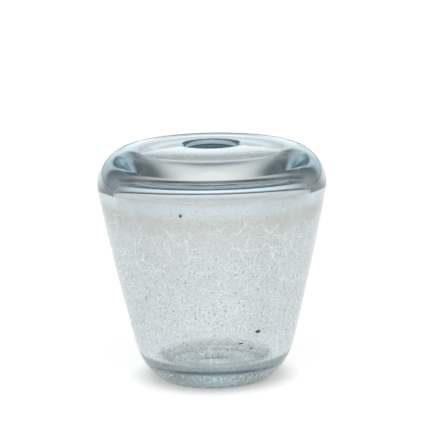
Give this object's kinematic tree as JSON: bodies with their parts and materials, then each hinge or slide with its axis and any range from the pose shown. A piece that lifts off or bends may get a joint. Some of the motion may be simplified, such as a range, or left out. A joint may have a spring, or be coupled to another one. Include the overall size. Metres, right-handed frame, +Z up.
{
  "type": "glass vase",
  "caption": "Thick mouth-blown glass vase: an upturned cone with a broad round shoulder, a small round mouth, and a crackled, seeded skin cased between layers of glass.",
  "frame": {"origin": "centre of the foot, on the surface that the vase stands on", "axes": "+Z up along the vase's axis of turning, out of the mouth; -Y faces the camera of the picture"},
  "size_m": [0.16, 0.16, 0.1656],
  "materials": {
    "tinted_glass": "polished",
    "crackle": "crackled",
    "clear_glass": "polished",
    "stone": "matte"
  },
  "bodies": {
    "root": {"inner_gather": "tinted_glass", "crackle_skin": "crackle", "outer_casing": "clear_glass", "stones": "stone"}
  },
  "joints": []
}
